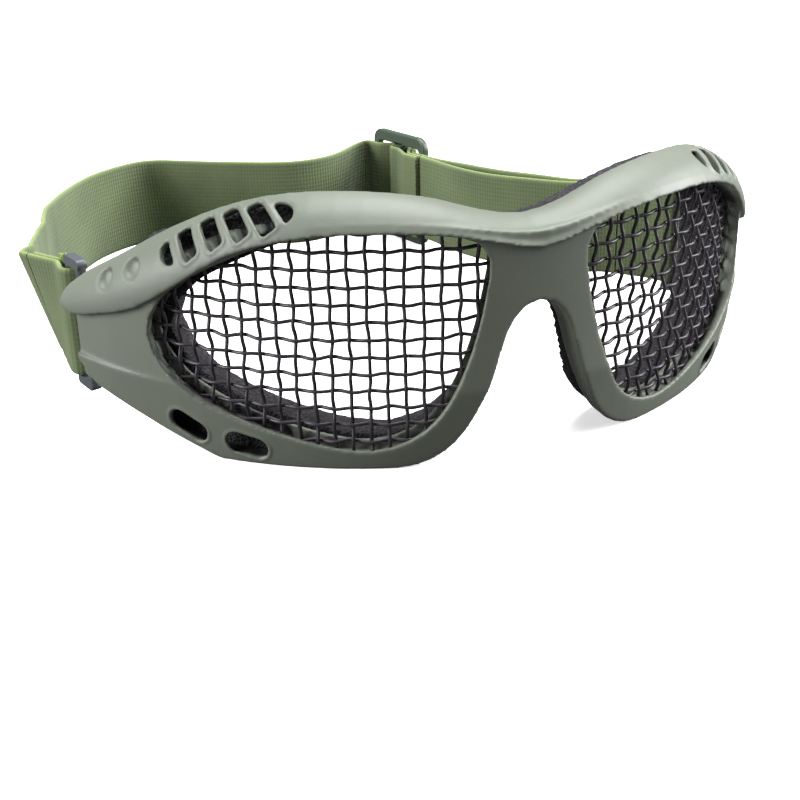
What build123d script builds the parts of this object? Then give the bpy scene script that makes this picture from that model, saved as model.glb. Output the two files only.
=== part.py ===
from build123d import *
import math
import os

# Mesh safety goggles. Millimetres. While it is built, X is across the face with the wearer's
# left at +X, Y runs from the front of the nose bridge (0) towards the back of the head, and
# Z is up from the table. The finished goggles are moved so that the origin is the centre of
# their footprint on the table.

# Overall shape of the moulded frame
wrap_radius = 90.0          # front face of the frame, round a vertical axis behind it
frame_half_width = 82.3     # half width of the rim at the temples
rim_height = 52.0           # rim under the brow
brow_rise = 4.0             # top of the brow ridge over the rim
rim_depth = 6.5             # depth of the rim walls
front_wall = 2.6            # thickness of the front wall
rim_wall = 2.0              # thickness of the walls round the rim
chin_lean = 2.6             # how far the bottom edge leans back
crease_height = 16.7        # crease over the lower band
temple_angle = 58.0         # degrees round the wrap where the foam ends

# Brow band
brow_overhang = 1.0         # how far the band stands proud of the front face
brow_height = rim_height + brow_rise
ridge_setback = 9.5         # of the ridge behind the front face
tip_setback = 4.0           # the same at the temple tips
brow_wall = 2.0             # thickness of the band
tip_angle = 68.3            # degrees round the wrap where the band ends
brow_steps = 2              # sections of the band from one row of its table to the next
rim_angle = 66.4            # degrees round the wrap where the rim ends, behind the pins

# Recessed temple panel: a cylinder whose axis lies nearer the front
panel_setback = 2.2
panel_shift = 3.2

# Slots, dimples and vents
slot_width = 3.3
slot_length = 8.4
slot_pitch = 3.4            # degrees between the slots
slot_first = 34.7           # degrees round the wrap of the innermost slot
slot_slant = 36.0           # degrees between a slot and the fall of the band
moon_length = 5.8           # half-moon at each end of the row of slots
moon_width = 2.7
moon_pitch = 2.4            # degrees from an end slot to the flat side of its half-moon
dimple_radius = 1.8
dimple_depth = 1.0
dimple_angles = (53.6, 58.6)
vent_length = 8.8
vent_width = 4.5
vent_angles = (38.4, 46.8)
vent_slopes = (13.0, 28.0)
vent_heights = (4.3, 6.9)

# Eye openings and the wire mesh lenses
eye_angle = 29.0            # degrees from straight ahead to the middle of each eye
lens_width = 68.4
lens_bottom = 4.7           # height of the lowest point of an eye opening
lens_top = 2.0              # from its highest point to the top of the rim
lens_height = rim_height - lens_bottom - lens_top
collar_wall = 2.2           # wall round each eye opening
groove_depth = 1.3          # how far the groove goes into that wall
groove_width = 2.2
rear_lip = 1.0              # how far the lip behind the lens stands inside the eye opening
wire_size = 0.7
wire_pitch = 3.6
wire_crimp = 0.43           # how far a wire bows to each side
lens_setback = 4.1          # from the front face to the middle of the mesh
lens_edge_gap = 0.2         # between the wire ends and the bottom of the groove

# Foam pad
foam_thickness = 7.6
foam_gap = 0.1              # glue line between the foam and the rim
foam_reach = 1.4            # how far the foam reaches inside the eye openings
foam_lead = 1.7             # how far its openings lie nearer the nose
foam_inset = 0.5
foam_drop = 0.9             # foam top under the brow ridge

# Temple clevises, their pins and the strap links
pin_radius = 1.0
pin_setback = 5.0           # of the pin behind the front face
pin_wrap_angle = 65.3
pin_proud = 0.3             # how far a pin stands out of the lugs
lug_radius = 3.8
lug_thickness = 3.6
lug_gap_bottom = 14.5
lug_gap_top = 25.5
lug_reach = 9.0
barrel_radius = 2.4
barrel_play = 0.05          # radial play on the pin
barrel_end_play = 0.2
link_height = 20.0          # height of the middle of a link
link_bar_radius = 1.1
link_front_bar = 5.6        # from the pin to the front bar
link_rear_bar = 10.9        # from the pin to the strap bar
link_window = 26.0          # height of the window that the strap goes through
link_neck = 2.2
link_right_angle = 16.0     # degrees outward at rest
link_left_angle = -43.0     # negative as this one rests turned inward

# Elastic strap and its adjuster
strap_width = 25.0
strap_thickness = 1.3
strap_low = 4.0             # lower edge of the strap behind the head
strap_link_low = 7.5        # lower edge of the strap at the links
strap_depth = 163.0         # from the nose bridge to the back of the strap
strap_half_width = 88.0
loop_end = 24.0             # from a pin to the end of the sewn loop
loop_play = 0.25            # between a strap bar and the strap
loop_spread = 0.78          # half the distance between the two sewn layers
ribbon_steps = 5            # lofted steps between two points of a strap route
bend_steps = 12             # straight steps round a bend of the strap
adjuster_x_share = 0.324    # of strap_half_width
adjuster_y_share = 0.896    # of strap_depth
adjuster_turn = 72.5        # degrees from +X down towards the front
adjuster_length = 24.0
adjuster_height = 33.0
adjuster_thickness = 2.2
adjuster_bar = 2.6
adjuster_window = 26.2
adjuster_corner = 3.5
layer_gap = 0.12            # between layers of the strap in the adjuster
entry_radius = 1.6          # bend of the strap where it turns into the adjuster
entry_turn = 107.0          # degrees that it turns there
body_gap = 0.3              # between the ends of strap sections on different moving pieces
ribbon_lead = 3.0           # straight run at the end of a ribbon

overrun = 5.0               # how far cutting tools run past what they cut
outline_steps = 48          # straight steps round an eye opening
hidden_steps = 24           # the same where it doesn't show
rim_steps = 30              # over the rim, and round the nose arch

# Outlines, as shares of the sizes named beside them
rim_top_shares = [(0.0, 0.93), (0.16, 0.965), (0.38, 1.0), (0.58, 0.97), (0.72, 0.87), (0.84, 0.705), (1.0, 0.555)]
rim_end_share = 0.30        # lower corner of the temple end, of rim_height
rim_cheek_shares = [(0.965, 0.20), (0.72, 0.0)]
rim_chin_share = 0.33       # inner end of the straight bottom edge, of frame_half_width
nose_shares = [(0.292, 0.009), (0.25, 0.036), (0.19, 0.12), (0.14, 0.27), (0.105, 0.42), (0.062, 0.60)]
nose_top_share = 0.66
lens_shares = [
    (-0.497, 0.78), (-0.472, 0.93), (-0.35, 0.985), (-0.14, 1.0), (0.065, 0.968), (0.25, 0.85), (0.42, 0.69),
    (0.5, 0.48), (0.43, 0.285), (0.24, 0.13), (0.0, 0.022), (-0.2, 0.0), (-0.33, 0.10), (-0.43, 0.36),
]
# Brow band sections: angle as a share of tip_angle, lower edge and ridge as shares of
# brow_height, bulge as a share of the band's own height and the ridge's place as a share of
# the way from ridge_setback to tip_setback
brow_shares = [
    (0.0, 0.805, 0.882, 0.16, 0.0),
    (0.09, 0.843, 0.909, 0.16, 0.0),
    (0.18, 0.879, 0.961, 0.16, 0.0),
    (0.27, 0.895, 0.989, 0.16, 0.0),
    (0.37, 0.893, 1.0, 0.15, 0.0),
    (0.47, 0.866, 0.991, 0.15, 0.0),
    (0.57, 0.804, 0.954, 0.16, 0.0),
    (0.67, 0.684, 0.889, 0.18, 0.05),
    (0.77, 0.568, 0.804, 0.19, 0.2),
    (0.87, 0.507, 0.704, 0.19, 0.5),
    (0.96, 0.466, 0.616, 0.2, 0.85),
    (1.0, 0.482, 0.561, 0.2, 1.0),
]
slot_length_shares = [1.0, 1.0, 0.94, 0.88]
slot_place_share = 0.48     # of the way up the band
dimple_place_share = 0.5
dimple_stretch_share = 1.35
foam_top_shares = [(0.0, 0.882), (0.17, 0.94), (0.34, 0.985), (0.49, 0.975), (0.62, 0.92), (0.74, 0.82), (0.87, 0.70)]

# Routes of the strap, as shares of strap_half_width and strap_depth, with the height of the
# lower edge as a share of the way from strap_low to strap_link_low and the lean of the upper
# edge, outward, as a share of strap_width
band_route_shares = [
    (-0.962, 0.53, 0.9, 0.22), (-0.95, 0.58, 0.75, 0.34), (-0.929, 0.66, 0.55, 0.27), (-0.892, 0.75, 0.38, 0.1),
    (-0.817, 0.847, 0.2, 0.02),
    (-0.727, 0.926, 0.1, 0.0), (-0.614, 0.982, 0.0, 0.0), (-0.523, 1.0, 0.0, 0.0), (-0.409, 0.972, 0.0, 0.0),
    (-0.21, 0.908, 0.0, 0.0), (-0.051, 0.877, 0.0, 0.0), (0.09, 0.9, 0.0, 0.0),
]
outer_route_shares = [
    (0.409, 0.712, 0.25, 0.0), (0.466, 0.626, 0.5, 0.0), (0.534, 0.552, 0.75, 0.0), (0.614, 0.485, 0.93, 0.0),
]
inner_route_shares = [
    (0.36, 0.704, 0.3, 0.0), (0.404, 0.612, 0.55, 0.0), (0.485, 0.535, 0.8, 0.0), (0.592, 0.473, 0.95, 0.0),
]


def wrap_plane(angle, height=0.0):
    """Plane that holds the wrap axis, turned to an angle: its X points outward and its Y up."""
    turn = math.radians(angle)
    return Plane(
        origin=(0, wrap_radius, height),
        x_dir=(math.sin(turn), -math.cos(turn), 0),
        z_dir=(-math.cos(turn), -math.sin(turn), 0),
    )


def wrap_point(radius, angle, height):
    """Point at a radius and an angle about the wrap axis."""
    turn = math.radians(angle)
    return Vector(radius * math.sin(turn), wrap_radius - radius * math.cos(turn), height)


def wrap_ring(inner, outer):
    """Upright tube about the wrap axis, taller than the frame."""
    height = brow_height + overrun
    tube = Cylinder(outer, height, align=(Align.CENTER, Align.CENTER, Align.MIN))
    tube -= Cylinder(inner, height, align=(Align.CENTER, Align.CENTER, Align.MIN))
    return Pos(0, wrap_radius, 0) * tube


def front_ring(inner):
    """Wrapped band whose outer face leans back below the crease."""
    upper_height = brow_height + overrun - crease_height
    low = Cone(
        wrap_radius - chin_lean, wrap_radius, crease_height, align=(Align.CENTER, Align.CENTER, Align.MIN)
    )
    top = Cylinder(wrap_radius, upper_height, align=(Align.CENTER, Align.CENTER, Align.MIN))
    bore = Cylinder(inner, brow_height + overrun, align=(Align.CENTER, Align.CENTER, Align.MIN))
    return Pos(0, wrap_radius, 0) * (low + Pos(0, 0, crease_height) * top - bore)


def front_prism(outline):
    """An outline drawn on the X and Z axes, run back from the front of the frame."""
    return extrude(Plane.XZ * outline, amount=wrap_radius, dir=(0, 1, 0))


def rim_outline():
    """Front outline of the rim, clockwise, with the nose arch. Its curves are drawn in straight steps."""
    def place(shares):
        return [Vector(x * frame_half_width, z * rim_height) for x, z in shares]

    def flip(points):
        return [Vector(-spot.X, spot.Y) for spot in reversed(points)]

    top = place(rim_top_shares)
    end = place([(1.0, rim_end_share)] + rim_cheek_shares)
    nose = place([(rim_chin_share, 0.0)] + nose_shares)
    over = stepped(Spline(*(flip(top) + top[1:])))
    under = stepped(Spline(*(nose + place([(0.0, nose_top_share)]) + flip(nose))))
    return over + end + under + flip(end)


def stepped(curve):
    """Points along a curve, evenly spaced."""
    return [curve @ (i / rim_steps) for i in range(rim_steps + 1)]


def rim_face(inset=0.0):
    """Face inside the rim outline, or inside a smaller one."""
    points = rim_outline()
    return make_face(Polyline(*(shrink(points, inset) if inset else points), close=True))


def shrink(points, inset):
    """A clockwise outline moved inward, each point along the mitre of its two sides."""
    moved = []
    for i, spot in enumerate(points):
        before = (spot - points[i - 1]).normalized()
        after = (points[(i + 1) % len(points)] - spot).normalized()
        across = Vector(before.Y + after.Y, -before.X - after.X)
        moved.append(spot + across * (inset / across.dot(Vector(before.Y, -before.X))))
    return moved


def eye_outline(grow, lead, steps):
    """Outline of an eye opening in its own plane, grown all round and moved towards the nose."""
    points = [(x * lens_width, lens_bottom + z * lens_height) for x, z in lens_shares]
    curve = Spline(*points, periodic=True)
    spots = []
    for i in range(steps):
        ahead = curve % (i / steps)
        spots.append((curve @ (i / steps)) - Vector(ahead.Y, -ahead.X) * grow - Vector(lead, 0))
    return make_face(Polyline(*spots, close=True))


def eye_prism(grow=0.0, lead=0.0, steps=outline_steps):
    """An eye outline run square through the frame, on the wearer's left."""
    turn = math.radians(eye_angle)
    across = Plane(
        origin=(0, wrap_radius, 0),
        x_dir=(math.cos(turn), math.sin(turn), 0),
        z_dir=(math.sin(turn), -math.cos(turn), 0),
    )
    return extrude(across * eye_outline(grow, lead, steps), amount=wrap_radius + overrun, dir=across.z_dir)


def both_sides(solid):
    """A solid and its mirror image on the other side of the nose."""
    return [solid, mirror(solid, about=Plane.YZ)]


def brow_slope(row, column):
    """How fast a column of the brow table changes at a row. It is level over the nose."""
    if not row:
        return 0.0
    before = brow_shares[row - 1]
    after = brow_shares[min(row + 1, len(brow_shares) - 1)]
    return (after[column] - before[column]) / (after[0] - before[0])


def brow_values(place):
    """Lower edge, ridge, bulge and way to the tip at a share of tip_angle, on smooth curves."""
    row = max(i for i in range(len(brow_shares) - 1) if brow_shares[i][0] <= place)
    near, far = brow_shares[row], brow_shares[row + 1]
    span = far[0] - near[0]
    part = (place - near[0]) / span
    values = []
    for column in range(1, len(near)):
        leave = brow_slope(row, column) * span
        arrive = brow_slope(row + 1, column) * span
        step = far[column] - near[column]
        rest = part * (3 * step - 2 * leave - arrive) + part**2 * (leave + arrive - 2 * step)
        values.append(near[column] + part * (leave + rest))
    return values


def brow_surface(place):
    """Lower edge, middle and ridge of a brow section, as radius and height."""
    low, high, bulge, to_tip = brow_values(place)
    ridge = wrap_radius - ridge_setback + to_tip * (ridge_setback - tip_setback)
    start = Vector(wrap_radius + brow_overhang, low * brow_height)
    end = Vector(ridge, high * brow_height)
    run = end - start
    normal = Vector(run.Y, -run.X).normalized()
    return start, (start + end) / 2 + normal * (bulge * run.length), end


def brow_section(place):
    """Closed outline of the brow band on a radial plane, at a share of tip_angle to either side."""
    start, middle, end = brow_surface(abs(place))
    under = Vector(-brow_wall, -brow_wall / 2)
    inner_start = Vector(start.X - front_wall - brow_overhang, start.Y)
    inner_end = Vector(end.X, end.Y - brow_wall)
    outline = ThreePointArc(start, middle, end) + Line(end, inner_end)
    outline += ThreePointArc(inner_end, middle + under, inner_start) + Line(inner_start, start)
    return (wrap_plane(place * tip_angle) * make_face(outline)).face()


def brow_band():
    """Rounded band over both eyes, from tip to tip."""
    places = [0.0]
    for near, far in zip(brow_shares, brow_shares[1:]):
        places += [near[0] + (far[0] - near[0]) * (i + 1) / brow_steps for i in range(brow_steps)]
    sections = [brow_section(-place) for place in reversed(places[1:])]
    return loft(sections + [brow_section(place) for place in places], ruled=True)


def brow_frame(angle, share):
    """Plane on the brow band at an angle: its X runs down the band and its Z points out of it."""
    curve = ThreePointArc(*brow_surface(angle / tip_angle))
    spot = curve @ share
    fall = -(curve % share)
    turn = math.radians(angle)
    out = Vector(math.sin(turn), -math.cos(turn), 0)
    down = out * fall.X + Vector(0, 0, fall.Y)
    outward = out * -fall.Y + Vector(0, 0, fall.X)
    return Plane(origin=wrap_point(spot.X, angle, spot.Y), x_dir=down, z_dir=outward)


def brow_cut(shape, angle, share, depth):
    """A shape run through the brow band at an angle, slanted like the slots."""
    return extrude(brow_frame(angle, share) * Rot(0, 0, -slot_slant) * shape, amount=depth, both=True)


def brow_slots():
    """Slots through the brow band on the wearer's left, and the half-moons at both ends of the row."""
    cutters = []
    depth = brow_wall * 2
    for i, share in enumerate(slot_length_shares):
        shape = RectangleRounded(slot_length * share, slot_width, slot_width / 5)
        cutters.append(brow_cut(shape, slot_first + i * slot_pitch, slot_place_share, depth))
    last = slot_first + (len(slot_length_shares) - 1) * slot_pitch
    for side, angle in ((-1, slot_first - moon_pitch), (1, last + moon_pitch)):
        shape = Ellipse(moon_length / 2, moon_width)
        shape &= Pos(0, side * moon_length / 2) * Rectangle(moon_length * 2, moon_length)
        cutters.append(brow_cut(shape, angle, slot_place_share, depth))
    return cutters


def brow_dimples():
    """Blind oval dimples between the slots and the temple."""
    shape = Ellipse(dimple_radius * dimple_stretch_share, dimple_radius)
    return [brow_cut(shape, angle, dimple_place_share, dimple_depth) for angle in dimple_angles]


def cheek_vents():
    """Oblong vents through the lower band on the wearer's left."""
    cutters = []
    for angle, slope, height in zip(vent_angles, vent_slopes, vent_heights):
        turn = math.radians(angle)
        out = Vector(math.sin(turn), -math.cos(turn), 0)
        across = Vector(math.cos(turn), math.sin(turn), 0)
        place = Plane(origin=wrap_point(wrap_radius, angle, height), x_dir=across, z_dir=out)
        shape = SlotOverall(vent_length, vent_width)
        cutters.append(extrude(place * Rot(0, 0, slope) * shape, amount=front_wall * 2, both=True))
    return cutters


def temple_panel():
    """What is cut away beside each lens to leave the recessed temple panel."""
    reach = wrap_radius + overrun
    height = brow_height - crease_height
    block = Box(reach, wrap_radius, height, align=(Align.MIN, Align.MIN, Align.MIN))
    start = wrap_radius * math.sin(math.radians(temple_angle * 0.75))
    block = Pos(start, 0, crease_height) * block
    core = Cylinder(wrap_radius - panel_setback, brow_height * 2, align=(Align.CENTER, Align.CENTER, Align.MIN))
    return block - Pos(0, wrap_radius - panel_shift, 0) * core


def pin_place():
    """Foot of the hinge pin on the wearer's left."""
    return wrap_point(wrap_radius - pin_setback, pin_wrap_angle, 0)


def clevis_lug(bottom):
    """One ear of the left temple clevis, rounded about the pin."""
    turn = math.radians(pin_wrap_angle)
    away = Vector(-math.cos(turn), -math.sin(turn), 0)
    base = pin_place()
    ear = Pos(base.X, base.Y, bottom) * Cylinder(
        lug_radius, lug_thickness, align=(Align.CENTER, Align.CENTER, Align.MIN)
    )
    plane = Plane(origin=(base.X, base.Y, bottom), x_dir=away, z_dir=(0, 0, 1))
    return ear + plane * Box(lug_reach, lug_radius * 2, lug_thickness, align=(Align.MIN, Align.CENTER, Align.MIN))


def link_space():
    """Room for the left link's barrel between the lugs, behind the front wall and open to the back."""
    base = pin_place()
    turn = math.radians(pin_wrap_angle)
    height = lug_gap_top - lug_gap_bottom
    away = Vector(-math.cos(turn), -math.sin(turn), 0)
    plane = Plane(origin=(base.X, base.Y, lug_gap_bottom), x_dir=away, z_dir=(0, 0, 1))
    clear = barrel_radius + barrel_end_play
    room = Pos(base.X, base.Y, lug_gap_bottom) * Cylinder(
        clear, height, align=(Align.CENTER, Align.CENTER, Align.MIN)
    )
    slab = Box(lug_reach * 2, lug_reach * 2, height, align=(Align.MAX, Align.MAX, Align.MIN))
    return room + plane * Pos(clear, clear, 0) * slab


def beyond(angle, side=1):
    """Everything farther round the wrap than an angle, on one side."""
    reach = wrap_radius * 2
    block = Box(reach, reach, reach, align=(Align.MIN, Align.CENTER, Align.CENTER))
    turn = angle if side > 0 else 180 - angle
    return Pos(0, wrap_radius, 0) * Rot(0, 0, turn) * block


def left_half():
    """Everything on the wearer's left of the nose."""
    reach = wrap_radius * 2
    return Box(reach, reach * 2, reach, align=(Align.MIN, Align.CENTER, Align.CENTER))


def frame_shell():
    """One-piece moulded frame: rim, brow band, eye collars and temple clevises."""
    half = left_half()
    outline = front_prism(rim_face()) & half
    ring = front_ring(wrap_radius - rim_depth)
    hollow = front_prism(rim_face(rim_wall)) & wrap_ring(
        wrap_radius - rim_depth - overrun, wrap_radius - front_wall
    )
    shell = (outline & ring) - hollow
    shell += eye_prism(collar_wall, steps=hidden_steps) & outline & ring
    shell -= [temple_panel(), beyond(rim_angle)]
    shell += [brow_band() & half, clevis_lug(lug_gap_bottom - lug_thickness), clevis_lug(lug_gap_top)]
    base = pin_place()
    pin_hole = Pos(base.X, base.Y, 0) * Cylinder(
        pin_radius, lug_gap_top + lug_thickness + pin_proud, align=(Align.CENTER, Align.CENTER, Align.MIN)
    )
    shell -= [pin_hole, link_space()] + eye_opening() + brow_slots() + brow_dimples() + cheek_vents()
    return shell + mirror(shell, about=Plane.YZ)


def eye_opening():
    """What is cut for the lens on the wearer's left: the opening, its groove and a smaller one behind."""
    seat = wrap_radius - lens_setback + groove_width / 2
    front = eye_prism() & wrap_ring(seat - groove_width, wrap_radius + overrun)
    groove = eye_prism(groove_depth, steps=hidden_steps) & wrap_ring(seat - groove_width, seat)
    return [front, groove, eye_prism(-rear_lip)]


def wire_band(points, half):
    """Face of a crimped wire: a zigzag with a thickness, drawn on its own plane."""
    outer = [(r + half, t) for r, t in points]
    inner = [(r - half, t) for r, t in reversed(points)]
    return make_face(Polyline(*(outer + inner), close=True))


def mesh_lens():
    """Woven wire lens on the wearer's left: crimped wires that pass over and under each other."""
    radius = wrap_radius - lens_setback
    step = math.degrees(wire_pitch / radius)
    columns = math.ceil(lens_width / wire_pitch / 2) + 1
    rows = math.ceil(lens_height / wire_pitch / 2) + 1
    middle = lens_bottom + lens_height / 2
    half = wire_size / 2
    blank = eye_prism(groove_depth - lens_edge_gap, steps=hidden_steps)
    wires = []
    for i in range(-columns, columns + 1):
        zigzag = [
            (radius + wire_crimp * (-1) ** (i + j), middle + j * wire_pitch) for j in range(-rows, rows + 1)
        ]
        face = wrap_plane(eye_angle + i * step) * wire_band(zigzag, half)
        wires.append(extrude(face, amount=half, both=True))
    for j in range(-rows, rows + 1):
        turns = [math.radians(eye_angle + i * step) for i in range(-columns, columns + 1)]
        bows = [radius - wire_crimp * (-1) ** (i + j) for i in range(-columns, columns + 1)]
        outer = [wrap_round(r + half, t) for r, t in zip(bows, turns)]
        inner = [wrap_round(r - half, t) for r, t in zip(bows, turns)]
        face = make_face(Polyline(*(outer + inner[::-1]), close=True))
        wires.append(extrude(Pos(0, 0, middle + j * wire_pitch) * face, amount=half, both=True))
    trimmed = [piece for wire in wires for piece in (wire & blank).solids()]
    return Compound(children=[piece for piece in trimmed if piece.volume > wire_size**3])


def wrap_round(radius, turn):
    """Point in the plan at a radius and a turn in radians about the wrap axis."""
    return (radius * math.sin(turn), wrap_radius - radius * math.cos(turn))


def foam_outline():
    """Outline of the foam: the rim's lower edge, and a top that follows the brow ridge."""
    low = rim_face(foam_inset)
    top = [(x * frame_half_width, z * brow_height - foam_drop) for x, z in foam_top_shares]
    flip = [(-x, z) for x, z in reversed(top)]
    edges = Spline(*(flip + top[1:]))
    under = rim_height * nose_top_share + rim_wall
    edges += Polyline(top[-1], (top[-1][0], under), (-top[-1][0], under), flip[0])
    return low, make_face(edges)


def foam_pad():
    """One sheet of foam behind the rim, with two eye openings."""
    face_radius = wrap_radius - rim_depth - foam_gap
    rear_radius = face_radius - foam_thickness
    low, top = foam_outline()
    step_radius = wrap_radius - ridge_setback - foam_gap
    pad = front_prism(low) & wrap_ring(rear_radius, face_radius)
    cap = front_prism(top) & wrap_ring(rear_radius, step_radius)
    under_brow = front_prism(top) - Pos(0, 0, -brow_wall * 2) * front_prism(top)
    pad = pad - (under_brow & wrap_ring(step_radius, wrap_radius)) + cap
    for side in (-1, 1):
        pad -= beyond(temple_angle, side)
    for opening in both_sides(eye_prism(-foam_reach, foam_lead, hidden_steps)):
        pad -= opening
    return pad


def link_body(side, angle):
    """A strap link: a barrel on the pin, a neck and a ring of two round bars and two rounded arms."""
    width = link_bar_radius * 2
    ring = []
    for distance in (link_front_bar, link_rear_bar):
        ring.append(Pos(0, distance, link_height) * Cylinder(link_bar_radius, link_window + width))
    profile = Plane.YZ * SlotOverall(link_rear_bar - link_front_bar + width, width)
    arm = extrude(profile, amount=link_bar_radius, both=True)
    for height in (link_height - link_window / 2 - link_bar_radius, link_height + link_window / 2 + link_bar_radius):
        ring.append(Pos(0, (link_front_bar + link_rear_bar) / 2, height) * arm)
    height = lug_gap_top - lug_gap_bottom - barrel_end_play * 2
    middle = (lug_gap_top + lug_gap_bottom) / 2
    barrel = Pos(0, 0, middle) * Cylinder(barrel_radius, height)
    neck = Pos(0, link_front_bar / 2, middle) * Box(link_neck, link_front_bar, height)
    bore = Pos(0, 0, middle) * Cylinder(pin_radius + barrel_play, height * 2)
    link = barrel + neck
    for piece in ring:
        link += piece
    return place_at_pin(link - bore, side, angle)


def place_at_pin(solid, side, angle):
    """Moves something drawn with +Y straight back onto a pin, turned outward by an angle."""
    base = pin_place()
    return Pos(side * base.X, base.Y, 0) * Rot(0, 0, -side * angle) * solid


def hinge_pin():
    """Steel pin through the left clevis, standing a little proud at both ends."""
    base = pin_place()
    height = lug_gap_top - lug_gap_bottom + lug_thickness * 2 + pin_proud * 2
    bottom = lug_gap_bottom - lug_thickness - pin_proud
    return Pos(base.X, base.Y, bottom) * Cylinder(
        pin_radius, height, align=(Align.CENTER, Align.CENTER, Align.MIN)
    )


def strip(points):
    """Face of a strip as thick as the strap, along a run of points in the plan."""
    left = []
    right = []
    for i, spot in enumerate(points):
        ahead = (points[min(i + 1, len(points) - 1)] - points[max(i - 1, 0)]).normalized()
        side = Vector(ahead.Y, -ahead.X) * (strap_thickness / 2)
        left.append(spot + side)
        right.append(spot - side)
    return make_face(Polyline(*(left + right[::-1]), close=True))


def bend(centre, radius, start, end):
    """Points of an arc in the plan, between two angles in degrees."""
    turns = [math.radians(start + (end - start) * i / bend_steps) for i in range(bend_steps + 1)]
    return [Vector(centre[0] + radius * math.cos(a), centre[1] + radius * math.sin(a)) for a in turns]


def strap_loop(side, angle):
    """The end of the strap sewn round a link's strap bar, drawn straight back from the pin."""
    radius = link_bar_radius + loop_play + strap_thickness / 2
    waist = link_rear_bar + (loop_end - link_rear_bar) / 2
    leg = [Vector(loop_spread, loop_end)]
    for i in range(bend_steps):
        ease = (1 - math.cos(math.pi * i / bend_steps)) / 2
        leg.append(Vector(loop_spread + (radius - loop_spread) * ease,
                          waist - (waist - link_rear_bar) * i / bend_steps))
    back = [Vector(-spot.X, spot.Y) for spot in reversed(leg)]
    face = strip(leg + bend((0, link_rear_bar), radius, 0, -180) + back)
    return place_at_pin(Pos(0, 0, strap_link_low) * extrude(face, amount=strap_width, dir=(0, 0, 1)), side, angle)


def adjuster_point(along, out):
    """Point in the plan, from the adjuster's centre along the strap and outward."""
    turn = math.radians(adjuster_turn)
    centre = Vector(adjuster_x_share * strap_half_width, adjuster_y_share * strap_depth)
    forward = Vector(math.cos(turn), -math.sin(turn))
    outward = Vector(math.sin(turn), math.cos(turn))
    return centre + forward * along + outward * out


def tri_glide():
    """Strap adjuster: a rounded plate with two windows and a bar between them."""
    plate = RectangleRounded(adjuster_length, adjuster_height, adjuster_corner)
    gap = (adjuster_length - adjuster_bar * 3) / 2
    for side in (-1, 1):
        plate -= Pos(side * (gap + adjuster_bar) / 2, 0) * RectangleRounded(
            gap, adjuster_window, adjuster_bar / 2
        )
    centre = adjuster_point(0, 0)
    turn = math.radians(adjuster_turn)
    place = Plane(
        origin=(centre.X, centre.Y, adjuster_height / 2),
        x_dir=(math.cos(turn), -math.sin(turn), 0),
        z_dir=(math.sin(turn), math.cos(turn), 0),
    )
    return extrude(place * plate, amount=adjuster_thickness / 2, both=True)


def adjuster_levels():
    """Distances of the strap's layers from the middle of the adjuster's plate."""
    layer = strap_thickness + layer_gap
    first = adjuster_thickness / 2 + layer_gap + strap_thickness / 2
    return first, first + layer, first + layer * 2


def adjuster_leg(radius, level):
    """From over the middle bar, down through a window, to under the outer bar on the link's side."""
    half = adjuster_bar / 2
    edge = adjuster_length / 2 - adjuster_bar - strap_thickness / 2
    depth = adjuster_levels()[0] - strap_thickness
    other = level - depth
    far = math.hypot(edge - half, depth)
    slope = math.degrees(math.asin((radius + other) / far) + math.atan2(depth, edge - half))
    return bend((half, 0), radius, 90, 90 - slope) + bend((edge, -depth), other, -90 - slope, -90)


def adjuster_ribbon(path):
    """A strip of strap that follows a path of distances along and out from the adjuster's centre."""
    face = strip([adjuster_point(spot.X, spot.Y) for spot in path])
    return Pos(0, 0, strap_low) * extrude(face, amount=strap_width, dir=(0, 0, 1))


def strap_crossing():
    """The strap where it turns in past the end bar and passes over the middle bar."""
    first, second, _ = adjuster_levels()
    leg = adjuster_leg(second, first)
    other = [Vector(-spot.X, spot.Y) for spot in reversed(leg)]
    corner = bend((-adjuster_length / 2, -first - entry_radius), entry_radius, 90 + entry_turn, 90)
    return adjuster_ribbon(corner + other + leg + [Vector(adjuster_length / 2, -first)])


def strap_end_fold():
    """The strap's end, folded round the middle bar and sewn back on itself."""
    first, second, third = adjuster_levels()
    half = adjuster_bar / 2
    end = adjuster_length / 2 + half
    step = end - half * 4
    tail = [Vector(end, -third)] + bend((step, strap_thickness - third), strap_thickness, -90, -120)
    round_bar = bend((-half, 0), first, 270, 90)
    upper = adjuster_leg(first, second) + [Vector(end, -second)]
    return adjuster_ribbon(tail + [Vector(half, -first)] + round_bar + upper)


def ribbon(stations):
    """Webbing through upright sections. A station is a point of the lower edge and a lean."""
    curve = Spline(*[spot for spot, _ in stations])
    total = ribbon_steps * (len(stations) - 1)
    spots = [curve @ (i / total) for i in range(total + 1)]
    places = [curve.param_at_point(spot) for spot, _ in stations]
    sections = []
    for i, spot in enumerate(spots):
        ahead = curve % (i / total)
        side = Vector(ahead.Y, -ahead.X, 0).normalized()
        lean = share_between(i / total, places, [one for _, one in stations])
        up = (Vector(0, 0, 1) + side * lean).normalized()
        rise = Vector(0, 0, 1) * strap_width + side * (lean * strap_width)
        place = Plane(origin=spot, x_dir=up.cross(side.cross(up)), z_dir=side.cross(up))
        rectangle = Rectangle(strap_thickness, rise.length, align=(Align.CENTER, Align.MIN))
        sections.append((place * rectangle).face())
    return loft(sections, ruled=True)


def share_between(place, places, values):
    """Value at a place, between the values at the nearest places."""
    for i in range(len(places) - 1):
        if place <= places[i + 1]:
            part = (place - places[i]) / (places[i + 1] - places[i])
            return values[i] + (values[i + 1] - values[i]) * part
    return values[-1]


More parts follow.
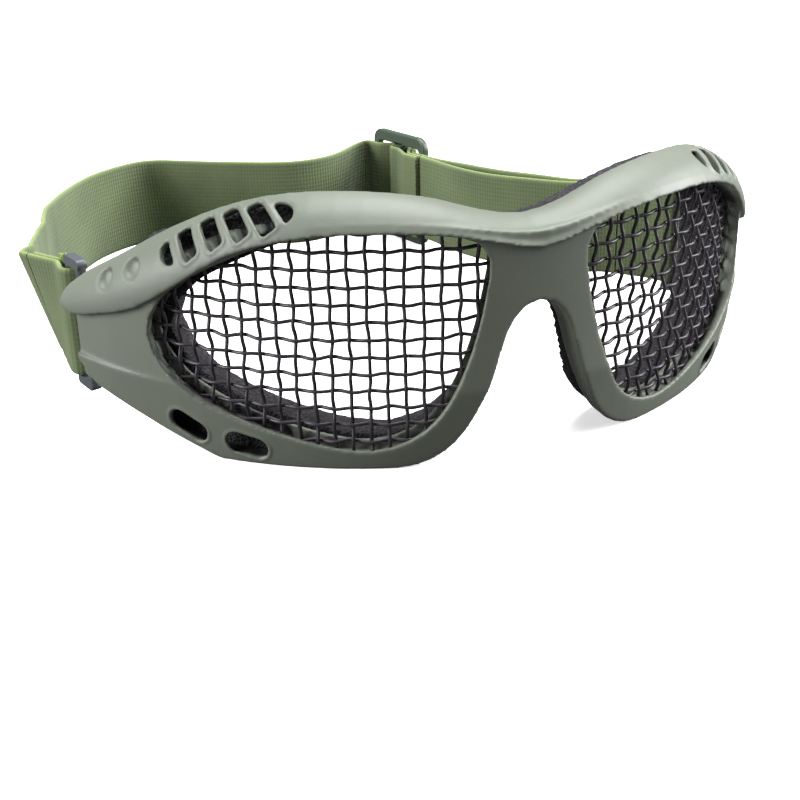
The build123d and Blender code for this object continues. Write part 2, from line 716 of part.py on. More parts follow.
def loop_stations(side, angle, out):
    """The straight run of a layer that leaves a sewn loop: points of its lower edge, outermost first."""
    base = pin_place()
    turn = math.radians(-side * angle)
    stations = []
    for along in (loop_end + body_gap + ribbon_lead, loop_end + body_gap):
        across = out * math.cos(turn) - along * math.sin(turn)
        back = out * math.sin(turn) + along * math.cos(turn)
        stations.append((Vector(side * base.X + across, base.Y + back, strap_link_low), 0.0))
    return stations


def route(shares):
    """Stations of a strap route, from its shares."""
    rise = strap_link_low - strap_low
    return [
        (Vector(x * strap_half_width, y * strap_depth, strap_low + z * rise), lean) for x, y, z, lean in shares
    ]


def adjuster_stations(along, out):
    """The straight run of a layer that leaves the adjuster on the link's side."""
    spots = [adjuster_point(along + body_gap + lead, out) for lead in (0, ribbon_lead)]
    return [(Vector(spot.X, spot.Y, strap_low), 0.0) for spot in spots]


def entry_stations():
    """The straight run of the single layer up to its bend at the adjuster."""
    first = adjuster_levels()[0]
    turn = math.radians(90 + entry_turn)
    heading = Vector(math.sin(turn), -math.cos(turn))
    centre = Vector(-adjuster_length / 2, -first - entry_radius)
    start = centre + Vector(math.cos(turn), math.sin(turn)) * entry_radius
    spots = [start - heading * (body_gap + lead) for lead in (ribbon_lead, 0)]
    spots = [adjuster_point(spot.X, spot.Y) for spot in spots]
    return [(Vector(spot.X, spot.Y, strap_low), 0.0) for spot in spots]


def strap_band():
    """Single layer from the right link's sewn loop, behind the head, to the adjuster."""
    start = loop_stations(-1, link_right_angle, -loop_spread)
    return ribbon(start[::-1] + route(band_route_shares) + entry_stations())


def strap_outer_layer():
    """Outer layer from the adjuster to the left link."""
    first = adjuster_levels()[0]
    start = adjuster_stations(adjuster_length / 2, -first)
    return ribbon(start + route(outer_route_shares) + loop_stations(1, link_left_angle, loop_spread))


def strap_inner_layer():
    """Inner layer from the left link back to the fold on the adjuster's middle bar."""
    second = adjuster_levels()[1]
    start = adjuster_stations(adjuster_length / 2 + adjuster_bar / 2, -second)
    return ribbon(start + route(inner_route_shares) + loop_stations(1, link_left_angle, -loop_spread))


def build():
    """Every node of the goggles, by name."""
    lens = mesh_lens()
    pin = hinge_pin()
    return {
        "frame_shell": frame_shell(),
        "mesh_lens_left": lens,
        "mesh_lens_right": mirror(lens, about=Plane.YZ),
        "foam_pad": foam_pad(),
        "hinge_pin_left": pin,
        "hinge_pin_right": mirror(pin, about=Plane.YZ),
        "strap_link_left": link_body(1, link_left_angle),
        "strap_link_right": link_body(-1, link_right_angle),
        "strap_loop_left": strap_loop(1, link_left_angle),
        "strap_loop_right": strap_loop(-1, link_right_angle),
        "strap_band": strap_band(),
        "strap_outer_layer": strap_outer_layer(),
        "strap_inner_layer": strap_inner_layer(),
        "strap_crossing": strap_crossing(),
        "strap_end_fold": strap_end_fold(),
        "tri_glide": tri_glide(),
    }


def footprint_shift(nodes):
    """Move that puts the origin at the middle of the footprint, on the table."""
    boxes = [node.bounding_box() for node in nodes.values()]
    low = [min(box.min.X for box in boxes), min(box.min.Y for box in boxes), min(box.min.Z for box in boxes)]
    high = [max(box.max.X for box in boxes), max(box.max.Y for box in boxes)]
    return Pos(-(low[0] + high[0]) / 2, -(low[1] + high[1]) / 2, -low[2])


os.makedirs("parts", exist_ok=True)
parts = build()
shift = footprint_shift(parts)
for name, node in parts.items():
    export_step(shift * node, f"parts/{name}.step")
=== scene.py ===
import math
import random

import bmesh
import bpy
import numpy as np
from mathutils import Matrix, Vector, noise
from mathutils.bvhtree import BVHTree
from mathutils.kdtree import KDTree


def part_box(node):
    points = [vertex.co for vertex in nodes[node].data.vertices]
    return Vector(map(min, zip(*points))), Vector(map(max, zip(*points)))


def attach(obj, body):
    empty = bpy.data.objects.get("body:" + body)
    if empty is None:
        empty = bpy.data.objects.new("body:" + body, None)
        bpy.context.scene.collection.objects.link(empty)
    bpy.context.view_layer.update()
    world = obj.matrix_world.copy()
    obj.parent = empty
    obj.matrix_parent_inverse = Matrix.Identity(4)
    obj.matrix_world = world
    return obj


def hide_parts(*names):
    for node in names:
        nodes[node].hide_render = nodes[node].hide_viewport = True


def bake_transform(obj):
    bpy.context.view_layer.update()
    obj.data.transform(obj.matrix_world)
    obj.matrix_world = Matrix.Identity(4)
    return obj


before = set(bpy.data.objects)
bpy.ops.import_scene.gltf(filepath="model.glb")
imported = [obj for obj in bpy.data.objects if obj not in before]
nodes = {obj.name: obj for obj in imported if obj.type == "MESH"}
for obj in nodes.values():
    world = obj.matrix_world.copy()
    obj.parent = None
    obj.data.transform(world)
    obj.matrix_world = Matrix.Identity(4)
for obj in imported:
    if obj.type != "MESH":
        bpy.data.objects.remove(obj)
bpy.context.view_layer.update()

MM = 0.001
UP = Vector((0, 0, 1))
WHITE = (1.0, 1.0, 1.0, 1.0)


def middle_of(node_name):
    """The middle of a CAD node's box."""
    low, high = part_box(node_name)
    return (np.array(low) + np.array(high)) / 2


def places(verts):
    """The coordinates of vertices, one vertex to a row."""
    return np.array([tuple(vert.co) for vert in verts])


# Measures of the frame: the point midway between the hinge pins, on the floor, and the webbing's width
PINS_FOOT = (middle_of("hinge_pin_left") + middle_of("hinge_pin_right")) / 2 * (1, 1, 0)
STRAP_WIDTH = float(np.ptp(places(nodes["strap_loop_left"].data.vertices)[:, 2]))

# Camera, found by matching the photograph's outline. Its place is measured in metres from PINS_FOOT
CAMERA_FROM_PINS = (-0.105937, -0.253967, 0.12025)
CAMERA_AZIMUTH = 21.31
CAMERA_DOWN = 22.20
CAMERA_ROLL = -1.17
CAMERA_LENS_MM = 56.13
CAMERA_SENSOR_MM = 36.0
CAMERA_NEAREST = 10 * MM
PHOTO_SIZE_PX = 800
PRINCIPAL_POINT_PX = (405.5, 329.6)

# Light. Each lamp has a name, a place, a size and a power, and all shine at LIGHT_AIM
WORLD_LIGHT = 0.17
FLOOR_BOUNCE = 0.08
FLOOR_GLOW = 0.6
FLOOR_HALF = 3.0
LIGHT_AIM = (0, 0, 0.03)
LIGHTS = (
    ("top", (0.2, 0.12, 1.0), 0.8, 21.0),
    ("left", (-0.95, 0.0, 0.4), 0.6, 15.0),
    ("right", (0.95, -0.26, 0.45), 0.6, 21.0),
)

# Colours, as 8-bit display values
FRAME_LIGHT = (110, 116, 105)
FRAME_DARK = (96, 102, 92)
# painted shade inside the frame's small openings, under the frame's own material
INSIDE_SHADE = (26, 28, 26)
LINK_LIGHT = (78, 84, 88)
LINK_DARK = (62, 68, 72)
BUCKLE_LIGHT = (72, 86, 72)
BUCKLE_DARK = (54, 66, 56)
WIRE_LIGHT = (74, 68, 76)
WIRE_DARK = (40, 36, 42)
FOAM_LIGHT = (88, 85, 90)
FOAM_DARK = (36, 36, 38)
STRAP_LIGHT = (108, 122, 84)
STRAP_DARK = (76, 88, 62)
STRAP_EDGE = (118, 136, 82)
THREAD_COLOR = (126, 150, 66)
STEEL_COLOR = (150, 150, 148)

# Plastic
PLASTIC_GRAIN = 0.2 * MM
PLASTIC_ROUGH_VARY = 0.14
CORNER_STARTS = 0.485     # pointiness at which painted shade starts to darken an inner corner, and where it is darkest
CORNER_DEEPEST = 0.4
CORNER_SHARE = 0.35       # brightness of the darkest painted corner shade against the dark colour

# Joined corners and rounded edges of CAD meshes
WELD_GAP = 1e-6
SMOOTH_FACTOR = 0.5
SOFTEN_TURN = math.radians(40)
SOFTEN_SEGMENTS = 3
LINK_RADIUS = 0.3 * MM
BUCKLE_RADIUS = 0.5 * MM

# Frame moulding
FRAME_VOXEL = 0.34 * MM
FRAME_SMOOTHING = 14
RIM_TURN = math.radians(38)           # least turn of the surface at the edges of a rim
RIM_EDGES = 8                         # fewest edges round a rim
RIM_STEP = 0.25 * MM                  # spacing of the points along a rim
RIM_REACH = 6 * MM                    # beyond it, a place belongs to no opening
OPENING_SIZES = (4.6 * MM, 11 * MM)   # smallest and largest rim of a slot, a half-moon or a vent
DIMPLE_SIZES = (2.2 * MM, 4.6 * MM)
DIMPLE_DEPTH = 0.4 * MM
DIMPLE_SPREAD = 1.1                   # reach of a dimple against the radius of its rim
DIMPLE_FACING = 0.2                   # least outward part of the normal in a dimple
LIP_HEIGHT = 0.2 * MM                 # raised lips round the openings
LIP_AWAY = 0.55 * MM                  # from an opening's rim to the lip's crest
LIP_SPREAD = 0.36 * MM
LIP_REACH = 1.8 * MM
LIP_SLANT = 0.5                       # rise of the direction that lips face
LIP_FACING = 0.35                     # a surface that faces less that way has no lip
LIP_FACING_GAIN = 1.4
SHADE_FROM = 0.3 * MM                 # depth inside an opening where painted shade starts to darken it
SHADE_FADE = 0.9 * MM
ROOF_START = 0.6 * MM                 # how far over a place the search for material above it starts

# Lens wires
WIRE_RADIUS = 0.39 * MM
WIRE_SIDES = 8
WIRE_STEPS = 7              # points per pitch along a wire
WIRE_WANDER = 0.32 * MM     # how far a wire strays sideways
WANDER_PER_METRE = 260      # how fast the straying changes along a wire, and from wire to wire
WANDER_PER_WIRE = 7.3
WANDER_SLICE = 0.5
UPRIGHT_SEED = 11           # the first upright and the first level wire's place in the noise
LEVEL_SEED = 71
STRAIGHT_WIDTH = 1.6 * MM   # an upright wire is narrower and taller than this
WIRE_BIN = 0.9 * MM         # pieces of one wire lie in the same bin of this width
CROSSING_SHARE = 0.3        # reach of a crossing against the pitch

# Foam
FOAM_VOXEL = 0.6 * MM
FOAM_SMOOTHING = 8
FOAM_KEPT = 0.22            # share of the remeshed faces that is kept
FOAM_UNEVEN = 0.08 * MM
FOAM_UNEVEN_PER_METRE = 900
FOAM_CELL_DEPTH = 0.6 * MM

# Webbing
RIBBON_STEP = 0.8 * MM
RIBBON_COLUMNS = 20
RIBBON_EDGE = 0.9 * MM      # width of the rounded selvedge
RIBBON_EDGE_SHARE = 0.2     # thickness at the very edge against the full one
RIB_PITCH_MM = 0.9
CORD_PITCH_MM = 1.15
PALE_EDGE_MM = (0.6, 0.05)  # distances from the edge between which the webbing turns pale
WEAVE_DEPTH = 0.15 * MM
CORD_HEIGHT = 0.6           # heights of the cords and the fuzz against the ribs
FUZZ_HEIGHT = 0.8
# painted shade: how much darker the weave's grooves are, and lighter its ribs and cords
RIB_SHADE = 0.06
FUZZ_TONE = 0.2
FACING_EDGE = 0.7           # least part of a face's normal along Z on a strip's lower or upper edge
CORNER_COSINE = 0.45        # a corner turns further than this cosine says

# How the strap leans beside the wearer's right link, in millimetres: places back from a point that lies
# LEAN_ZERO behind the pins, and how much further out the upper and the lower edge lie there
LEAN_BEYOND = -20 * MM      # only the webbing further to the wearer's right leans
LEAN_ZERO = 26.8
LEAN_BACK = (-17, -11, -8.8, -6.4, -3.6, -1.3, 0.7, 5.4, 12, 18, 24, 34, 44, 58, 70)
LEAN_UPPER = (0, 0, 1.1, 2.2, 3.3, 4.0, 4.7, 8.0, 9.6, 8.4, 6.6, 4.4, 2.2, 0.6, 0)
LEAN_LOWER = (0, 0, -0.7, -1.3, -2.3, -2.8, -2.8, -2.2, -1.2, -0.6, 0, 0, 0, 0, 0)

# Loose threads along a line that starts at a place measured from PINS_FOOT
THREADS_FROM_PINS = (-80.38 * MM, 14.8 * MM, 32.6 * MM)
THREADS_LINE = (-0.4 * MM, 2.4 * MM, 0)
THREAD_COUNT = 46
THREAD_SPREAD = (1, 1, 0.6)
THREAD_RISE = 0.2
THREAD_BEND = 0.35 * MM
THREAD_LENGTHS_MM = (0.6, 1.5)
THREAD_RADIUS = 0.13 * MM
THREAD_SIDES = 5


# Materials

def feed(socket, value):
    """Links another node's output to an input socket, or sets the input's value."""
    if isinstance(value, bpy.types.NodeSocket):
        socket.node.id_data.links.new(value, socket)
    else:
        socket.default_value = value


def feed_all(node, **inputs):
    """Feeds a node's inputs by their names, with an underscore for each space."""
    for key, value in inputs.items():
        feed(node.inputs[key.replace("_", " ")], value)


def new_material(name):
    """A material, its principled shader, and a function that adds nodes to it."""
    material = bpy.data.materials.new(name)
    material.use_nodes = True
    tree = material.node_tree

    def add(kind, **inputs):
        node = tree.nodes.new(kind)
        for key, value in inputs.items():
            if hasattr(node, key) and key not in node.inputs:
                setattr(node, key, value)
            else:
                feed_all(node, **{key: value})
        return node

    return material, tree.nodes["Principled BSDF"], add


def math_node(add, operation, *values):
    """The result of a math node on two or three values."""
    node = add("ShaderNodeMath", operation=operation)
    for socket, value in zip(node.inputs, values):
        feed(socket, value)
    return node.outputs[0]


def mix_colors(add, share, low, high):
    """A colour between two others: the low one where the share is 0 and the high one where it is 1."""
    node = add("ShaderNodeMix", data_type="RGBA")
    for socket, value in ((node.inputs[0], share), (node.inputs[6], low), (node.inputs[7], high)):
        feed(socket, value)
    return node.outputs[2]


def srgb(red, green, blue):
    """Linear colour of an 8-bit display colour."""
    def linear(value):
        value /= 255
        return value / 12.92 if value <= 0.04045 else ((value + 0.055) / 1.055) ** 2.4
    return (linear(red), linear(green), linear(blue), 1.0)


def plastic_material(name, light, dark, roughness, painted_shade=0.0):
    """Satin moulded plastic with a fine grain and cloudy colour. Painted shade darkens inner corners and the
    insides of holes.
    """
    material, shader, add = new_material(name)
    place = add("ShaderNodeTexCoord").outputs["Object"]
    cloud = add("ShaderNodeTexNoise", Vector=place, Scale=38.0, Detail=3.0)
    fine = add("ShaderNodeTexNoise", Vector=place, Scale=2600.0, Detail=2.0)
    color = mix_colors(add, cloud.outputs["Fac"], srgb(*dark), srgb(*light))
    if painted_shade:
        # Painted shade: inner corners, found by their pointiness, are darkened
        point = add("ShaderNodeNewGeometry").outputs["Pointiness"]
        corner = add("ShaderNodeMapRange", Value=point, From_Min=CORNER_STARTS, From_Max=CORNER_DEEPEST,
                     To_Max=painted_shade)
        corner_shade = tuple(CORNER_SHARE * value for value in srgb(*dark)[:3]) + (1.0,)
        color = mix_colors(add, corner.outputs[0], color, corner_shade)
        # Painted shade inside openings, from the shade attribute
        inside = add("ShaderNodeAttribute", attribute_name="shade").outputs["Fac"]
        color = mix_colors(add, inside, color, srgb(*INSIDE_SHADE))
    rough = math_node(add, "MULTIPLY_ADD", cloud.outputs["Fac"], PLASTIC_ROUGH_VARY,
                      roughness - PLASTIC_ROUGH_VARY / 2)
    bump = add("ShaderNodeBump", Strength=0.12, Distance=PLASTIC_GRAIN, Height=fine.outputs["Fac"])
    feed_all(shader, Base_Color=color, Roughness=rough, Normal=bump.outputs[0])
    return material


def wire_material():
    """Dark coated wire with uneven tone."""
    material, shader, add = new_material("coated_wire")
    place = add("ShaderNodeTexCoord").outputs["Object"]
    blotch = add("ShaderNodeTexNoise", Vector=place, Scale=420.0, Detail=2.0)
    color = mix_colors(add, blotch.outputs["Fac"], srgb(*WIRE_DARK), srgb(*WIRE_LIGHT))
    feed_all(shader, Base_Color=color, Metallic=0.25, Roughness=0.42)
    return material


def foam_material():
    """Open-cell charcoal foam."""
    material, shader, add = new_material("charcoal_foam")
    place = add("ShaderNodeTexCoord").outputs["Object"]
    cells = add("ShaderNodeTexVoronoi", Vector=place, Scale=1500.0)
    cloud = add("ShaderNodeTexNoise", Vector=place, Scale=160.0, Detail=4.0)
    # Painted shade: the colour darkens towards each cell's middle, where the bump sinks into a pit
    share = math_node(add, "MULTIPLY", cells.outputs["Distance"], cloud.outputs["Fac"])
    color = mix_colors(add, share, srgb(*FOAM_DARK), srgb(*FOAM_LIGHT))
    bump = add("ShaderNodeBump", Strength=0.8, Distance=FOAM_CELL_DEPTH, Height=cells.outputs["Distance"])
    feed_all(shader, Base_Color=color, Roughness=0.95, Specular_IOR_Level=0.15, Normal=bump.outputs[0])
    return material


def webbing_material():
    """Woven elastic: fine ribs across, cords along and a paler edge. UV is in millimetres."""
    material, shader, add = new_material("elastic_webbing")
    uv = add("ShaderNodeUVMap").outputs[0]
    split = add("ShaderNodeSeparateXYZ", Vector=uv)
    along, across = split.outputs[0], split.outputs[1]
    rib = math_node(add, "SINE", math_node(add, "MULTIPLY", along, 2 * math.pi / RIB_PITCH_MM))
    cord = math_node(add, "SINE", math_node(add, "MULTIPLY", across, 2 * math.pi / CORD_PITCH_MM))
    height = math_node(add, "MULTIPLY_ADD", cord, CORD_HEIGHT, rib)
    place = add("ShaderNodeTexCoord").outputs["Object"]
    cloud = add("ShaderNodeTexNoise", Vector=place, Scale=60.0, Detail=5.0)
    fuzz = add("ShaderNodeTexNoise", Vector=place, Scale=1900.0, Detail=2.0).outputs["Fac"]
    # Painted shade: the weave's height makes the grooves darker and the ribs and cords lighter
    tone = math_node(add, "MULTIPLY_ADD", height, RIB_SHADE, cloud.outputs["Fac"])
    tone = math_node(add, "SUBTRACT", tone, FUZZ_TONE / 2)
    tone = math_node(add, "MULTIPLY_ADD", fuzz, FUZZ_TONE, tone)
    body = mix_colors(add, tone, srgb(*STRAP_DARK), srgb(*STRAP_LIGHT))
    half = STRAP_WIDTH / MM / 2
    off_middle = math_node(add, "ABSOLUTE", math_node(add, "SUBTRACT", across, half))
    first, last = PALE_EDGE_MM
    pale = add("ShaderNodeMapRange", Value=off_middle, From_Min=half - first, From_Max=half - last)
    color = mix_colors(add, pale.outputs[0], body, srgb(*STRAP_EDGE))
    total = math_node(add, "MULTIPLY_ADD", fuzz, FUZZ_HEIGHT, height)
    bump = add("ShaderNodeBump", Strength=0.25, Distance=WEAVE_DEPTH, Height=total)
    feed_all(shader, Base_Color=color, Roughness=0.85, Specular_IOR_Level=0.2, Sheen_Weight=0.15,
             Sheen_Roughness=0.6, Normal=bump.outputs[0])
    return material


def plain_material(name, color, roughness, metallic=0.0):
    """A material of one colour."""
    material, shader, _ = new_material(name)
    feed_all(shader, Base_Color=srgb(*color), Roughness=roughness, Metallic=metallic)
    return material


def paint(obj, material):
    """Gives an object one material in place of what it has."""
    obj.data.materials.clear()
    obj.data.materials.append(material)


FRAME_PLASTIC = plastic_material("frame_plastic", FRAME_LIGHT, FRAME_DARK, 0.5, painted_shade=0.2)
LINK_PLASTIC = plastic_material("link_plastic", LINK_LIGHT, LINK_DARK, 0.45)
BUCKLE_PLASTIC = plastic_material("buckle_plastic", BUCKLE_LIGHT, BUCKLE_DARK, 0.45)
THREAD = plain_material("loose_thread", THREAD_COLOR, 0.9)
WIRE = wire_material()
FOAM = foam_material()
WEBBING = webbing_material()
STEEL = plain_material("pin_steel", STEEL_COLOR, 0.35, 1.0)


# Help with geometry

def add_mesh(name, points, faces, uvs=None):
    """A smooth mesh object in the shared frame, with one UV to each point if any are given."""
    mesh = bpy.data.meshes.new(name)
    mesh.from_pydata([tuple(p) for p in points], [], faces)
    if uvs is not None:
        layer = mesh.uv_layers.new(name="UVMap")
        for polygon in mesh.polygons:
            for loop in polygon.loop_indices:
                layer.data[loop].uv = uvs[mesh.loops[loop].vertex_index]
    mesh.update()
    mesh.shade_smooth()
    obj = bpy.data.objects.new(name, mesh)
    bpy.context.scene.collection.objects.link(obj)
    return obj


def rounding(voxel, passes):
    """Modifiers that remesh a solid finely and round its edges."""
    return [
        ("WELD", {"merge_threshold": WELD_GAP}),
        ("REMESH", {"mode": "VOXEL", "voxel_size": voxel}),
        ("SMOOTH", {"factor": SMOOTH_FACTOR, "iterations": passes}),
    ]


def baked_copy(name, source, modifiers):
    """A new object from a CAD node's mesh with modifiers applied."""
    work = bpy.data.objects.new(name + "_work", source.data.copy())
    bpy.context.scene.collection.objects.link(work)
    for kind, values in modifiers:
        modifier = work.modifiers.new(kind, kind)
        for key, value in values.items():
            setattr(modifier, key, value)
    baked = bpy.data.meshes.new_from_object(work.evaluated_get(bpy.context.evaluated_depsgraph_get()))
    bpy.data.objects.remove(work)
    baked.name = name
    baked.shade_smooth()
    obj = bpy.data.objects.new(name, baked)
    bpy.context.scene.collection.objects.link(obj)
    return obj


def dress(obj, material, body, *replaced, slot):
    """Paints a new piece, puts it on its body in place of the CAD nodes named, if any. Its slot is not used.
    """
    paint(obj, material)
    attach(obj, body)
    if replaced:
        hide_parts(*replaced)


def merged(node_name):
    """A bmesh of a CAD node with its split corners joined."""
    mesh = bmesh.new()
    mesh.from_mesh(nodes[node_name].data)
    bmesh.ops.remove_doubles(mesh, verts=mesh.verts, dist=WELD_GAP)
    return mesh


def linked_groups(items, neighbours):
    """Lists of the items that hang together through their neighbours."""
    seen, groups = set(), []
    for start in items:
        if start in seen:
            continue
        seen.add(start)
        group, stack = [], [start]
        while stack:
            item = stack.pop()
            group.append(item)
            for other in neighbours(item):
                if other not in seen:
                    seen.add(other)
                    stack.append(other)
        groups.append(group)
    return groups


def fit_circle(points):
    """Centre and radius of the circle nearest to points in the plan."""
    x, y = points[:, 0], points[:, 1]
    system = np.column_stack([2 * x, 2 * y, np.ones(len(x))])
    (a, b, c), *_ = np.linalg.lstsq(system, x * x + y * y, rcond=None)
    return a, b, math.sqrt(c + a * a + b * b)


def tube(path, radius, sides):
    """Points and faces of a round tube along a path that never runs along (1, 1, 1)."""
    path = np.array(path)
    ahead = np.gradient(path, axis=0)
    ahead /= np.linalg.norm(ahead, axis=1)[:, None]
    points, faces = [], []
    for spot, way in zip(path, ahead):
        side = np.cross(way, np.ones(3))
        side /= np.linalg.norm(side)
        other = np.cross(way, side)
        for k in range(sides):
            turn = 2 * math.pi * k / sides
            points.append(spot + radius * (math.cos(turn) * side + math.sin(turn) * other))
    rings = len(path)
    for i in range(rings - 1):
        for k in range(sides):
            a, b = i * sides + k, i * sides + (k + 1) % sides
            faces.append((a, b, b + sides, a + sides))
    faces.append(tuple(range(sides))[::-1])
    faces.append(tuple(range((rings - 1) * sides, rings * sides)))
    return points, faces


def lay_tube(points, faces, path, radius, sides):
    """Adds a round tube to lists of points and faces."""
    new_points, new_faces = tube(path, radius, sides)
    faces.extend(tuple(k + len(points) for k in face) for face in new_faces)
    points.extend(new_points)


LENS_CIRCLE = fit_circle(np.concatenate([
    places(nodes[f"mesh_lens_{side}"].data.vertices) for side in ("left", "right")
]))


# The moulded frame

def small_rims(mesh, smallest, largest):
    """The closed sharp rims of a bmesh whose size is between two limits, each as closely spaced points."""
    sharp = [e for e in mesh.edges if len(e.link_faces) == 2 and e.calc_face_angle() > RIM_TURN]
    links = {}
    for edge in sharp:
        for vert in edge.verts:
            links.setdefault(vert, []).append(edge)
    rims = []
    for group in linked_groups(sharp, lambda edge: [other for v in edge.verts for other in links[v]]):
        corners = {v for e in group for v in e.verts}
        size = np.ptp(places(corners), axis=0).max()
        closed = all(len(links[v]) > 1 for v in corners)
        if smallest < size < largest and len(group) >= RIM_EDGES and closed:
            points = []
            for edge in group:
                a, b = edge.verts
                steps = max(1, int(edge.calc_length() / RIM_STEP))
                points.extend(a.co.lerp(b.co, k / steps) for k in range(steps))
            rims.append(points)
    return rims


def frame_rims():
    """A search tree of points on the rims of the small openings, and each dimple's middle and radius."""
    mesh = merged("frame_shell")
    points = [point for rim in small_rims(mesh, *OPENING_SIZES) for point in rim]
    dimples = small_rims(mesh, *DIMPLE_SIZES)
    mesh.free()
    tree = KDTree(len(points))
    for k, point in enumerate(points):
        tree.insert(point, k)
    tree.balance()
    hollows = []
    for rim in dimples:
        middle = sum(rim, Vector()) / len(rim)
        hollows.append((middle, max((point - middle).length for point in rim)))
    return tree, hollows


def frame_moulding():
    """The frame with soft moulded edges, dimples, raised lips, and painted shade inside its small openings.
    """
    obj = baked_copy("frame_moulding", nodes["frame_shell"], rounding(FRAME_VOXEL, FRAME_SMOOTHING))
    rims, hollows = frame_rims()
    centre_x, centre_y, _ = LENS_CIRCLE
    roof = BVHTree.FromObject(obj, bpy.context.evaluated_depsgraph_get())
    shade = obj.data.attributes.new("shade", "FLOAT", "POINT")
    moves, depths = [], np.zeros(len(obj.data.vertices), dtype=np.float32)
    for vert in obj.data.vertices:
        out = Vector((vert.co.x - centre_x, vert.co.y - centre_y, 0)).normalized()
        for middle, size in hollows:
            away = (vert.co - middle).length / (DIMPLE_SPREAD * size)
            if away < 1 and vert.normal.dot(out) > DIMPLE_FACING:
                moves.append((vert.index, -out * (DIMPLE_DEPTH * (1 - away * away))))
        point, _, away = rims.find(vert.co)
        if away > RIM_REACH:
            continue
        facing = vert.normal.dot((out + LIP_SLANT * UP).normalized())
        if away < LIP_REACH and facing > LIP_FACING:
            lift = LIP_HEIGHT * math.exp(-((away - LIP_AWAY) / LIP_SPREAD) ** 2)
            moves.append((vert.index, vert.normal * (lift * min(1.0, facing * LIP_FACING_GAIN))))
        # Painted shade: a place sunk inside an opening, with material above it, gets a shade value that
        # darkens it
        sunk = (point - vert.co).dot(out)
        if sunk > SHADE_FROM and roof.ray_cast(vert.co + ROOF_START * UP, UP)[0]:
            depths[vert.index] = min(1.0, (sunk - SHADE_FROM) / SHADE_FADE)
    for index, move in moves:
        obj.data.vertices[index].co += move
    shade.data.foreach_set("value", depths)
    dress(obj, FRAME_PLASTIC, "frame", "frame_shell", slot="frame")


# Woven wire lenses

def cad_wires(node_name):
    """The upright and the level wires of a CAD lens, in order. Each is a list of its pieces. A piece is the
    angles round the lens's axis, the heights and the distances from the axis of its corners."""
    centre_x, centre_y, radius = LENS_CIRCLE
    mesh = merged(node_name)
    upright, level = {}, {}
    for group in linked_groups(mesh.verts, lambda vert: [e.other_vert(vert) for e in vert.link_edges]):
        x, y, z = places(group).T
        angle, out = np.arctan2(x - centre_x, centre_y - y), np.hypot(x - centre_x, centre_y - y)
        if np.ptp(angle) * radius < STRAIGHT_WIDTH < np.ptp(z):
            upright.setdefault(round(float(angle.mean()) * radius / WIRE_BIN), []).append((angle, z, out))
        else:
            level.setdefault(round(float(z.mean()) / WIRE_BIN), []).append((angle, z, out))
    mesh.free()
    return [upright[key] for key in sorted(upright)], [level[key] for key in sorted(level)]


def wander(seed, place):
    """Smooth sideways wandering of a wire."""
    spot = Vector((place * WANDER_PER_METRE, seed * WANDER_PER_WIRE, WANDER_SLICE))
    return WIRE_WANDER * noise.noise(spot)


def wire_cloth(node_name, name):
    """Round crimped wires in place of the CAD lens's square ones, each from end to end of the CAD wire."""
    centre_x, centre_y, radius = LENS_CIRCLE
    columns, rows = cad_wires(node_name)
    angles = [float(np.mean([angle.mean() for angle, _, _ in column])) for column in columns]
    heights = [float(np.mean([z.mean() for _, z, _ in row])) for row in rows]
    pitch = float(np.median(np.diff(heights)))
    step = float(np.median(np.diff(angles)))
    crimp = np.ptp(np.concatenate([out for column in columns for _, _, out in column])) / 2 - WIRE_RADIUS
    middle_column = columns[len(columns) // 2]
    off_crossing = np.concatenate([np.abs(z - heights[len(rows) // 2]) for _, z, _ in middle_column])
    outs = np.concatenate([out for _, _, out in middle_column])
    sign = 1 if outs[off_crossing < CROSSING_SHARE * pitch].mean() > radius else -1
    parity = (len(columns) // 2 + len(rows) // 2) % 2
    points, faces = [], []

    def spot(angle, z, out):
        return (centre_x + out * math.sin(angle), centre_y - out * math.cos(angle), z)

    for i, column in enumerate(columns):
        for _, z, _ in column:
            count = max(3, int(np.ptp(z) / pitch * WIRE_STEPS))
            path = []
            for height in np.linspace(z.min(), z.max(), count):
                phase = math.pi * ((height - heights[0]) / pitch + i + parity)
                angle = angles[i] + wander(i + UPRIGHT_SEED, height) / radius
                path.append(spot(angle, height, radius + sign * crimp * math.cos(phase)))
            lay_tube(points, faces, path, WIRE_RADIUS, WIRE_SIDES)
    for j, row in enumerate(rows):
        for piece_angles, _, _ in row:
            count = max(3, int(np.ptp(piece_angles) / step * WIRE_STEPS))
            path = []
            for angle in np.linspace(piece_angles.min(), piece_angles.max(), count):
                phase = math.pi * ((angle - angles[0]) / step + j + parity)
                height = heights[j] + wander(j + LEVEL_SEED, angle * radius)
                path.append(spot(angle, height, radius - sign * crimp * math.cos(phase)))
            lay_tube(points, faces, path, WIRE_RADIUS, WIRE_SIDES)
    dress(add_mesh(name, points, faces), WIRE, "frame", node_name, slot="wire")


# Foam

def face_foam():
    """The foam pad with soft, slightly uneven cut edges."""
    obj = baked_copy("face_foam", nodes["foam_pad"],
                     rounding(FOAM_VOXEL, FOAM_SMOOTHING) + [("DECIMATE", {"ratio": FOAM_KEPT})])
    for vert in obj.data.vertices:
        vert.co += vert.normal * (FOAM_UNEVEN * noise.noise(vert.co * FOAM_UNEVEN_PER_METRE))
    dress(obj, FOAM, "frame", "foam_pad", slot="foam")


# The strap

def edge_loop(mesh, upward):
    """The ordered corner points round the lower or upper edge face of a strip of webbing."""
    chosen = {f for f in mesh.faces if (f.normal.z if upward else -f.normal.z) > FACING_EDGE}
    links = {}
    for edge in mesh.edges:
        if sum(f in chosen for f in edge.link_faces) == 1:
            a, b = edge.verts
            links.setdefault(a, []).append(b)
            links.setdefault(b, []).append(a)
    start = next(iter(links))
    order, before, here = [start], None, start
    while True:
        after = [v for v in links[here] if v is not before][0]
        if after is start:
            break
        order.append(after)
        before, here = here, after
    return places(order)


